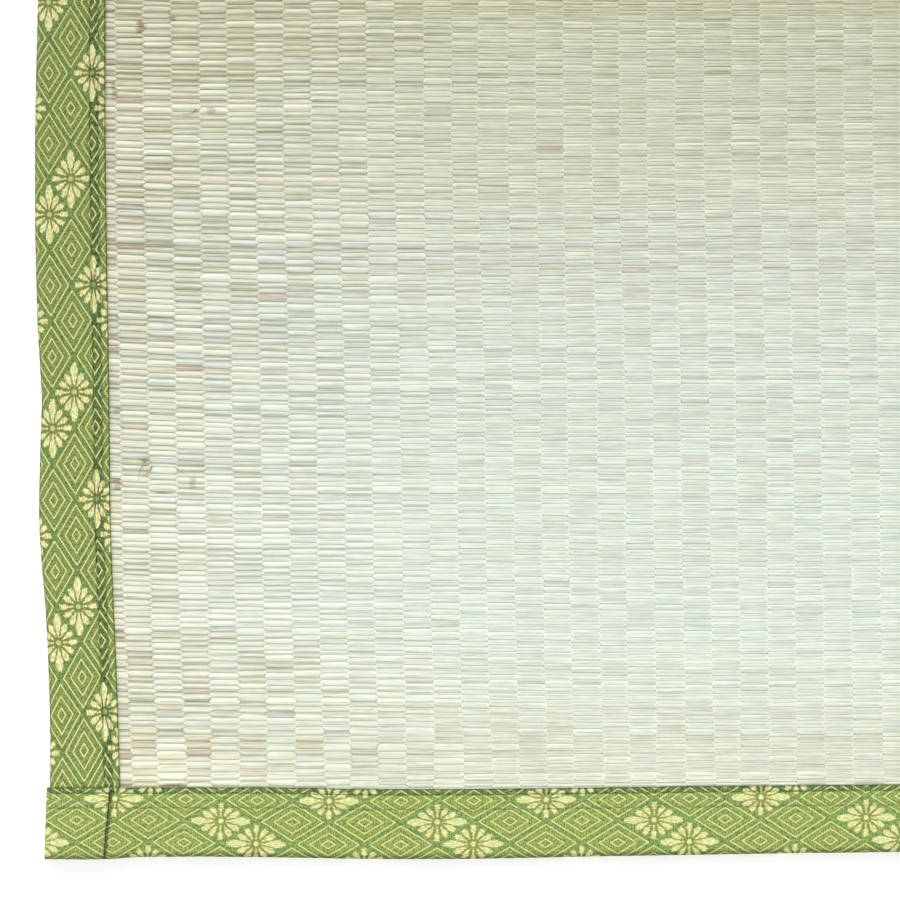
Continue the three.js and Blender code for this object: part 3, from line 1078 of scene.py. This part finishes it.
def rush_body(material):
    """The cloth under the floats, whose lower face is the mat's underside."""
    low, high = node_box("rush_panel")
    insets = np.array([0.4, 8, 16, 22, 26, 30, 34, 38, 42, 60, 120, 220, 330])
    between = np.arange(420, MAT_LENGTH - 420, 60.0)
    ys = np.concatenate([low[1] + BODY_FOLD + insets, between, (high[1] - BODY_FOLD - insets)[::-1]])
    cut_low, cut_high = slices("rush_panel", 1, ys)
    middle = np.full((len(ys), 1), MAT_WIDTH / 2)
    grid_x = np.concatenate(
        [cut_low[:, :1] + insets, middle, (cut_high[:, :1] - insets)[:, ::-1]], 1)
    rows, cols = grid_x.shape
    grid_y = np.repeat(ys[:, None], cols, 1)
    top = panel_top(grid_x, grid_y)
    thickness = top[rows // 2, cols // 2]
    upper = np.stack([grid_x, grid_y, top - BODY_DEPTH], -1)
    lower = np.stack([grid_x, grid_y, top - thickness + 0.02], -1)
    points = np.concatenate([upper.reshape(-1, 3), lower.reshape(-1, 3)])

    face = grid_faces(rows, cols, closed=False)[0]
    number = np.arange(rows * cols).reshape(rows, cols)
    faces = [face, face[:, ::-1] + rows * cols]
    for rim in (number[0], number[:, -1], number[-1, ::-1], number[::-1, 0]):
        a, b = rim[:-1], rim[1:]
        faces.append(np.stack([a, a + rows * cols, b + rows * cols, b], -1))
    corners = np.concatenate(faces).ravel()
    mesh = make_mesh("rush_body", points, corners)
    share = (points[corners, :2] - points[:, :2].min(0)) / np.ptp(points[:, :2], axis=0)
    share[:, 0] = share[:, 0] / 2 + (corners >= rows * cols) * 0.5
    add_uv(mesh, "OFBake", share)
    return add_piece(mesh, material)


# The tapes, each along one axis, with its outer fold at the mat's near or far side

SIDES = {
    "left": {"axis": 1, "far": 0.0, "length": MAT_LENGTH},
    "right": {"axis": 1, "far": MAT_WIDTH, "length": MAT_LENGTH},
    "front": {"axis": 0, "far": 0.0, "length": MAT_WIDTH},
    "back": {"axis": 0, "far": MAT_LENGTH, "length": MAT_WIDTH},
}
# By a side's axis: how far from the inner edge the creases run and the stitches draw it down,
# and how far in from the outer fold the tape gets painted shade
TAPE_SEAMS = (
    {"creases": (2.25, 7.9), "drawn": (-1.0, 2.25), "fold_shade_width": 2.7},
    {"creases": (2.8, 6.0), "drawn": (2.8, 6.0), "fold_shade_width": 0.9},
)


def placed(side, along, across, up):
    """A point given along a side of the mat, across inwards and up, as x, y, z."""
    facts = SIDES[side]
    inward = across if facts["far"] == 0 else facts["far"] - across
    pair = (along, inward) if facts["axis"] == 0 else (inward, along)
    return np.stack(np.broadcast_arrays(*pair, up), -1)


def tape_edges(side, stations):
    """The frame's tape at each station: outer fold, inner edge, lowest and highest."""
    facts = SIDES[side]
    low, high = slices(f"{side}_binding", facts["axis"], stations)
    across = 1 - facts["axis"]
    outer, inner = low[:, across], high[:, across]
    if facts["far"] != 0:
        outer, inner = facts["far"] - inner, facts["far"] - outer
    return outer, inner + TAPE_OVERLAP, low[:, 2], high[:, 2]


def drawn_in(side, from_inner):
    """How far the stitching pulls the tape's face down, by distance from its inner edge."""
    seam = TAPE_SEAMS[SIDES[side]["axis"]]
    start, end = seam["drawn"]
    band = smoothstep(from_inner, start - 0.4, start + 0.2) - smoothstep(from_inner, end - 0.3, end + 0.8)
    creases = sum(np.exp(-((from_inner - crease) / CREASE_WIDTH) ** 2) for crease in seam["creases"])
    rounded = EDGE_ROUNDING * smoothstep(-from_inner, -1.3, 0.0)
    return BAND_DEPTH * band + CREASE_DEPTH * creases + rounded


def face_steps(near, far):
    """Distances from the inner edge at which a tape's face has points, closest at its creases."""
    outside = [17.5, 12.0, far + 2.6, far + 1.2, far + 0.6, far + 0.25, far, far - 0.3, far - 0.8]
    middle = [(near + far) / 2, near + 0.7, near + 0.3]
    return outside + middle + [near, near - 0.3, near - 0.7, near / 2 - 0.2, 0.5, 0.1]


def tape_profile(side, outer, inner, low, high, slack):
    """One section of a tape, from the inner edge below, round the fold, to the one above."""
    near, far = TAPE_SEAMS[SIDES[side]["axis"]]["creases"]
    steps = face_steps(near, far)
    radius = (high - low) / 2
    middle = (high + low) / 2
    points = [(across, low) for across in (inner, inner - 6, outer + radius + 5)]
    for angle in np.radians(np.linspace(-90, 90, FOLD_STEPS + 1)):
        bulge = abs(math.cos(angle)) ** 0.8
        rise = math.copysign(abs(math.sin(angle)) ** 0.9, angle)
        points.append((outer + radius * (1 - bulge), middle + radius * rise))
    for step in steps:
        across = inner - step
        if step > far:
            beyond = (step - far) / (steps[0] + 2.5 - far)
            across = inner - far - (inner - far - outer - radius) * beyond
        points.append((across, high - drawn_in(side, inner - across) - slack))
    points.append((inner, high - drawn_in(side, 0.0) - 0.12))
    face_count = len(points)

    # Back along the tape's inner side, which lies on the panel
    under = high - TAPE_THICKNESS
    hollow = radius - TAPE_THICKNESS
    points.append((inner - 0.05, under))
    points += [(inner - crease, under - 0.35) for crease in (near, far)]
    points.append((outer + radius + 4, under))
    for angle in np.radians((60, 0, -60)):
        points.append((outer + radius - hollow * math.cos(angle), middle + hollow * math.sin(angle)))
    points += [(across, low + TAPE_THICKNESS) for across in (outer + radius + 4, inner - 0.05)]
    return np.array(points), face_count


def end_seam(side, along, across):
    """How hard the seams across an end tape pull at a point, and how far its weave is set off."""
    if SIDES[side]["axis"] == 1:
        return np.zeros_like(across), 0.0
    at = END_SEAM_AT + END_SEAM_SLANT * (across - END_TAPE_MIDDLE)
    near, far = along - at, MAT_WIDTH - along - at
    pull = np.exp(-(near / 0.8) ** 2) + np.exp(-(far / 0.8) ** 2)
    shift = smoothstep(-near, -0.8, 0.8) - smoothstep(-far, -0.8, 0.8)
    return pull, END_SEAM_SHIFT * shift


def end_lean(side, along):
    """How far the front tape leans at its start, for each millimetre across it."""
    return END_LEAN * (1 - smoothstep(along, 0, END_LEAN_FADE)) * (side == "front")


def tape_stations(side):
    """Places along a tape for its sections, closer at the seams and tips of an end tape."""
    axis = SIDES[side]["axis"]
    low, high = node_box(f"{side}_binding")
    start, end = low[axis] + 0.3, high[axis] - 0.3
    if axis == 0:
        start, end = 0.02, MAT_WIDTH - 0.02
    stations = np.linspace(start, end, round((end - start) / TAPE_STEP) + 1)
    if axis == 0:
        near = END_SEAM_AT + np.array([-3.2, -2.0, -1.2, -0.6, 0, 0.6, 1.2, 2.0, 3.2])
        extra = np.concatenate([near, MAT_WIDTH - near, [0.6, 1.6, MAT_WIDTH - 0.6, MAT_WIDTH - 1.6]])
        kept = np.abs(stations[:, None] - extra).min(axis=1) > 1.2
        kept[[0, -1]] = True
        stations = np.sort(np.concatenate([stations[kept], extra]))
    return stations


def tape_bake_map(section, bands, rows, row, col):
    """Lays a tape's faces out in a square, as bands of its length one above the other."""
    per_band = math.ceil((rows - 1) / bands)
    length = np.cumsum([0, *np.hypot(*np.diff(section, axis=0).T), TAPE_THICKNESS])
    length /= length[-1]
    share = [(row % per_band + end) / per_band for end in (0, 1)]
    margin = 4 * BAKE_MARGIN
    up = [(row // per_band + margin + length[col + end] * (1 - 2 * margin)) / bands for end in (0, 1)]
    return np.stack([np.stack([share[a], up[b]], -1) for a, b in ((0, 0), (0, 1), (1, 1), (1, 0))], 1)


def tape(side, material):
    """A whole tape, folded over the panel's edge."""
    axis, far, side_length = SIDES[side].values()
    stations = tape_stations(side)
    outer, inner, low, high = tape_edges(side, np.clip(stations, 1.3, side_length - 1.3))
    slack = smooth_rows(rng.standard_normal(len(stations)), 3) * 0.05
    sections = [tape_profile(side, *row) for row in zip(outer, inner, low, high, slack)]
    face_count = sections[0][1]
    profile = np.stack([section[0] for section in sections])
    across, up = profile[..., 0], profile[..., 1]
    rows, cols = across.shape
    along = np.repeat(stations[:, None], cols, 1)
    number = np.arange(cols)
    on_face = (number > 2 + FOLD_STEPS // 2) & (number < face_count)
    pull, shift = end_seam(side, along, across)
    pull = pull * on_face
    up = up - END_SEAM_DEPTH * pull
    along = along + end_lean(side, along) * across
    points = placed(side, along, across, up).reshape(-1, 3)

    faces, row, col = grid_faces(rows, cols, closed=True)
    bands = round(math.sqrt(side_length / 60))
    bake = tape_bake_map(np.stack([across, up], -1)[rows // 2], bands, rows, row, col)
    caps = [number[::-1], (rows - 1) * cols + number]
    if (axis == 1) == (far == 0):
        faces, bake, caps = faces[:, ::-1], bake[:, ::-1], [cap[::-1] for cap in caps]
    corners = np.concatenate([faces.ravel(), *caps])
    mesh = make_mesh(f"{side}_tape", points, corners, np.append(np.full(len(faces), 4), [cols, cols]))

    # Each point's distance from the inner edge and the outer fold, and how a seam pulls at it
    from_inner, from_outer = inner[:, None] - across, across - outer[:, None]
    edge_distance = np.where(on_face | (number == face_count), from_inner, FAR_FROM_EDGE)
    add_layer(mesh, "tape_place", "FLOAT_VECTOR", "POINT", np.stack([edge_distance, from_outer, pull], -1))

    # Its weave lies flat, but creases take some of it up and it has crept along the tape
    take_up = CREASE_TAKE_UP * sum(
        smoothstep(-from_inner, -crease - 0.4, -crease + 0.4) for crease in TAPE_SEAMS[axis]["creases"]
    )
    radius = (high - low)[:, None] / 2
    bent = np.arccos(np.clip(1 - from_outer / radius, -1, 1))
    round_fold = outer[:, None] + radius * (1 - math.pi / 2 + bent)
    flat_across = np.where(from_outer < radius, round_fold, across + take_up)
    flat_across = np.where(on_face, flat_across, 2 * outer[:, None] - across)
    creep = (END_CREEP, SIDE_CREEP)[axis]
    inward, back, slant = (read_off(creep, name, along) for name in ("inward", "back", "slant"))
    flat_along = along + shift + back - slant * (flat_across - SLANT_ABOUT)
    tape_uv = np.stack([flat_along, flat_across - inward], -1).reshape(-1, 2)
    add_uv(mesh, "Tape", tape_uv[corners])
    add_uv(mesh, "OFBake", np.concatenate([bake.reshape(-1, 2), np.zeros((2 * cols, 2))]))
    return add_piece(mesh, material)


# The stitches

def stitch_shape():
    """One stitch lying along x: a spindle that is 1 long and 2 across."""
    rings = ((-0.5, 0.35), (-0.3, 0.95), (0.3, 0.95), (0.5, 0.35))
    turns = np.arange(4) * math.pi / 2 + math.pi / 4
    points = [(x, r * math.cos(t), r * math.sin(t)) for x, r in rings for t in turns]
    faces = grid_faces(len(rings), len(turns), closed=True)[0]
    return np.array(points), faces[:, [0, 3, 2, 1]]


def stitches(name, starts, ends, radius, material):
    """A piece made of one stitch between each two points."""
    shape, faces = stitch_shape()
    middle, way = (starts + ends) / 2, ends - starts
    forward = way / np.linalg.norm(way, axis=1)[:, None]
    side = np.cross(np.array([0.0, 0.0, 1.0]), forward)
    side /= np.linalg.norm(side, axis=1)[:, None]
    top = np.cross(forward, side)
    points = (
        middle[:, None]
        + shape[None, :, :1] * way[:, None]
        + shape[None, :, 1:2] * radius * side[:, None]
        + shape[None, :, 2:] * radius * top[:, None]
    ).reshape(-1, 3)
    mesh = make_mesh(name, points, repeated(faces, len(starts), len(shape)))
    return add_piece(mesh, material)


def edge_stitches(side, material):
    """The line of stitches along a tape's inner edge."""
    facts = SIDES[side]
    from_edge = TAPE_SEAMS[facts["axis"]]["creases"][0]
    start = (1.5, 6.0)[facts["axis"]] + STITCH_LENGTH
    middles = np.arange(start, facts["length"] - start, STITCH_PITCH)
    middles = middles + rng.normal(0, STITCH_UNEVEN, len(middles))
    sideways = rng.normal(0, STITCH_UNEVEN, len(middles))
    ends = []
    for half in (-0.5, 0.5):
        along = middles + half * STITCH_LENGTH
        _, inner, _, high = tape_edges(side, along)
        up = high - drawn_in(side, from_edge) + 0.08
        across = inner - from_edge + sideways + half * 0.16
        ends.append(placed(side, along + end_lean(side, along) * across, across, up))
    return stitches(f"{side}_stitches", *ends, THREAD_RADIUS, material)


def end_stitches(side, material):
    """The seams that close an end tape's two ends."""
    ends = ([], [])
    for at_far_end in (False, True):
        across = np.arange(0.8, 26.0, END_SEAM_PITCH)
        for half, rows in zip((0.04, 0.96), ends):
            at = across + half * END_SEAM_PITCH
            along = END_SEAM_AT + END_SEAM_SLANT * (at - END_TAPE_MIDDLE)
            along = along + rng.normal(0, STITCH_UNEVEN, len(at))
            along = MAT_WIDTH - along if at_far_end else along
            outer, inner, low, high = tape_edges(side, along)
            at = np.minimum(at, inner - 0.2)
            radius = (high - low) / 2
            drop = np.maximum(radius - (at - outer), 0)
            up = (high + low) / 2 + np.sqrt(np.maximum(radius ** 2 - drop ** 2, 0)) - 0.3
            rows.append(placed(side, along, at, up))
    starts, stops = (np.concatenate(rows) for rows in ends)
    return stitches(f"{side}_end_seams", starts, stops, END_SEAM_RADIUS, material)


# Loose ends of rush

def loose_rows():
    """The loose ends of the table, and chance ones over the rest of the mat."""
    rows = [tuple(row.values()) for row in LOOSE_ENDS]
    while len(rows) < len(LOOSE_ENDS) + OTHER_LOOSE_ENDS:
        x, y = rng.uniform(34, MAT_WIDTH - 34), rng.uniform(34, MAT_LENGTH - 34)
        turn, length = rng.uniform(-1.1, 1.1), rng.uniform(3, 9)
        if x > STAINED_CORNER or y > STAINED_CORNER:
            to_x, to_y = x + length * math.cos(turn), y + length * math.sin(turn)
            rows.append((x, y, to_x, to_y, rng.uniform(-1.2, 1.2)))
    return np.array(rows)


def loose_ends(material):
    """Bent ends of rush that lie on the weave, as one piece."""
    rows = loose_rows()
    start, way = rows[:, None, 0:2], rows[:, None, 2:4] - rows[:, None, 0:2]
    sideways = np.stack([-way[..., 1], way[..., 0]], -1)
    sideways /= np.linalg.norm(sideways, axis=-1, keepdims=True)
    share = np.linspace(0, 1, LOOSE_END_STEPS)[None, :, None]
    arch = 4 * share * (1 - share)
    middle = start + way * share + sideways * rows[:, None, 4:5] * arch
    up = panel_top(middle[..., 0], middle[..., 1]) + 0.08 + LOOSE_END_RISE * arch[..., 0]
    radius = LOOSE_END_RADIUS * (1 - LOOSE_END_TAPER * share[..., 0]) * np.ones_like(up)
    turns = np.arange(LOOSE_END_SIDES) * 2 * math.pi / LOOSE_END_SIDES
    points = np.empty((*up.shape, LOOSE_END_SIDES, 3))
    aside = (radius[..., None] * np.cos(turns))[..., None]
    points[..., :2] = middle[..., None, :] + sideways[..., None, :] * aside
    points[..., 2] = up[..., None] + radius[..., None] * np.sin(turns)
    faces = grid_faces(LOOSE_END_STEPS, LOOSE_END_SIDES, closed=True)[0]
    faces = repeated(faces, len(rows), LOOSE_END_STEPS * LOOSE_END_SIDES)
    return add_piece(make_mesh("loose_ends", points.reshape(-1, 3), faces), material)


# The scene

def add_lamp(name, at, aim, size, power, spread):
    """A soft box, whose spread in degrees is how wide its grid lets the light go."""
    light = bpy.data.lights.new(name, "AREA")
    light.shape = "RECTANGLE"
    light.size, light.size_y = size
    light.energy = power
    light.spread = math.radians(spread)
    lamp = bpy.data.objects.new(name, light)
    lamp.location = at
    lamp.rotation_euler = (Vector(aim) - Vector(at)).to_track_quat("-Z", "Y").to_euler()
    bpy.context.scene.collection.objects.link(lamp)


def set_scene():
    scene = bpy.context.scene
    scene.view_settings.view_transform = "Standard"
    world = bpy.data.worlds.new("room")
    world.use_nodes = True
    background = world.node_tree.nodes["Background"]
    background.inputs["Color"].default_value = (1, 1, 1, 1)
    background.inputs["Strength"].default_value = ROOM_LIGHT
    scene.world = world
    for row in LAMPS:
        add_lamp(**row)

    camera_data = bpy.data.cameras.new("camera")
    camera_data.sensor_width = SENSOR
    camera_data.lens = SENSOR * CAMERA_HEIGHT / (VIEW_WIDTH * MM)
    camera_data.clip_end = 100
    camera = bpy.data.objects.new("camera", camera_data)
    centre = to_world((*VIEW_CENTRE, 0))
    camera.location = (centre[0], centre[1], CAMERA_HEIGHT)
    camera.rotation_euler = (0, 0, math.radians(VIEW_TURN))
    scene.collection.objects.link(camera)
    scene.camera = camera


def make_floor():
    corners = ((-1, -1), (1, -1), (1, 1), (-1, 1))
    points = [(x * FLOOR_REACH, y * FLOOR_REACH, -0.05) for x, y in corners]
    mesh = make_mesh("floor", points, np.arange(4))
    s = Shader("floor")
    x, y, _ = s.place()
    cloud = s.noise(x, y, scale=0.004)
    s.finish(s.mix(cloud, (0.93, 0.93, 0.93, 1), (0.97, 0.97, 0.97, 1)), 0.9, None, 0.1)
    s.surface.inputs["Emission Color"].default_value = (1, 1, 1, 1)
    s.surface.inputs["Emission Strength"].default_value = FLOOR_GLOW
    floor = bpy.data.objects.new("floor", mesh)
    mesh.materials.append(s.material)
    bpy.context.scene.collection.objects.link(floor)


def build():
    rush = rush_material()
    grid = weave_grid()
    deeper = deeper_halves()
    weave = {
        "grid": grid,
        "zigzag": zigzag(grid),
        "deeper": deeper,
        "tints": tints(grid, deeper),
        "knots": knots(grid),
        "gaps": gaps(),
    }
    cuts = np.linspace(0, BOUNDARIES - 1, STRIPS + 1).round().astype(int)
    strips = [
        weave_strip(f"weave_{number + 1}", cuts[number], cuts[number + 1], weave, rush)
        for number in range(STRIPS)
    ]
    loose = loose_ends(loose_material())
    body = rush_body(underside_material())
    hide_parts("rush_panel")

    # The end tapes' higher tone is painted sheen
    side_weave = {"anchor": (247.9, 3.3), "stretch": (1.0, 1.0), "tone": 1.08, "figure": 1.0}
    end_weave = {"anchor": (27.2, 23.2), "stretch": (1.02, 1.02), "tone": 1.36, "figure": 0.66}
    brocades = {
        "left": side_weave,
        "right": {**side_weave, "anchor": (190.0, 6.0)},
        "front": end_weave,
        "back": {**end_weave, "anchor": (70.0, 14.6)},
    }
    seam_thread = thread_material("seam_thread", SEAM_THREAD)
    edge_threads = (
        thread_material("end_thread", END_THREAD),
        thread_material("side_thread", SIDE_THREAD),
    )
    for side, cloth in brocades.items():
        axis = SIDES[side]["axis"]
        piece = tape(side, brocade_material(f"{side}_brocade", **cloth, **TAPE_SEAMS[axis]))
        threads = [edge_stitches(side, edge_threads[axis])]
        if axis == 0:
            threads.append(end_stitches(side, seam_thread))
        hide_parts(f"{side}_binding")


set_scene()
make_floor()
build()
